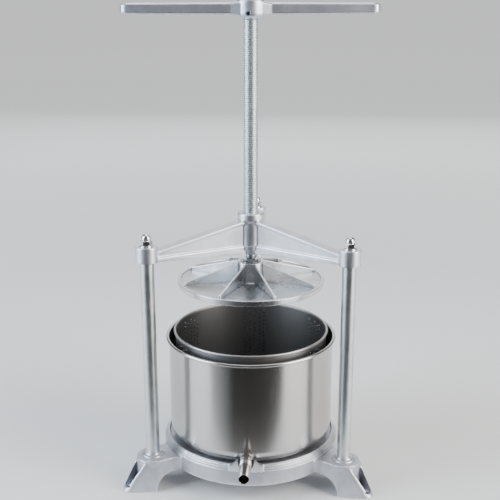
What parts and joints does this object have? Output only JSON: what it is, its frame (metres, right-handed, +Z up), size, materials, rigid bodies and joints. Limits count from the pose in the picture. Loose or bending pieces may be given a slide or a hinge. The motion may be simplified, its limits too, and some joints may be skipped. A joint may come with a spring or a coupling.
{
  "type": "basket wine press",
  "caption": "Hand screw fruit and wine press with a cast three-legged frame, tee handle, ribbed press plate, perforated basket and juice container with a spout.",
  "frame": {"origin": "on the screw's axis at the level of the feet, the centre of the three foot bolt holes", "axes": "+Z up along the screw, -Y to the front where the spout points, +X to the right seen from the front"},
  "size_m": [0.4136, 0.4405, 0.782],
  "materials": {
    "cast_frame": "satin blasted casting",
    "zinc_steel": "satin zinc plating",
    "fastener": "bright zinc plating",
    "cast_plate": "tumbled casting",
    "stainless": "brushed"
  },
  "bodies": {
    "frame": {"base_casting": "cast_frame", "column_left": "zinc_steel", "column_right": "zinc_steel", "column_rear": "zinc_steel", "foot_washer_left": "fastener", "foot_washer_right": "fastener", "foot_washer_rear": "fastener", "foot_nut_left": "fastener", "foot_nut_right": "fastener", "foot_nut_rear": "fastener", "crossbeam": "cast_frame", "beam_washer_left": "fastener", "beam_washer_right": "fastener", "beam_washer_rear": "fastener", "acorn_nut_left": "fastener", "acorn_nut_right": "fastener", "acorn_nut_rear": "fastener"},
    "plate": {"press_plate": "cast_plate"},
    "screw": {"press_screw": "zinc_steel", "swivel_jam_nut": "fastener", "swivel_top_washer": "fastener", "swivel_bottom_washer": "fastener", "swivel_lock_nut": "fastener", "handle": "cast_frame", "handle_pin": "fastener"},
    "container": {"container_shell": "stainless", "spout_collar": "stainless", "spout_pipe": "stainless"},
    "basket": {"basket_shell": "stainless"}
  },
  "joints": [
    {"name": "plate_travel", "type": "slide", "parent": "frame", "child": "plate", "axis": [0, 0, 1], "range_m": [-0.2, 0.004]},
    {"name": "screw_turn", "type": "hinge", "parent": "plate", "child": "screw", "pos_m": [0, 0, 0.45], "axis": [0, 0, 1], "range_deg": [-23940, 470]},
    {"name": "container_lift", "type": "slide", "parent": "frame", "child": "container", "axis": [0, 0, 1], "range_m": [0, 0.015]},
    {"name": "basket_lift", "type": "slide", "parent": "container", "child": "basket", "axis": [0, 0, 1], "range_m": [0, 0.04]}
  ],
  "couplings": [
    {"joint": "plate_travel", "follows": "screw_turn", "m_per_rad": 0.00047746}
  ]
}
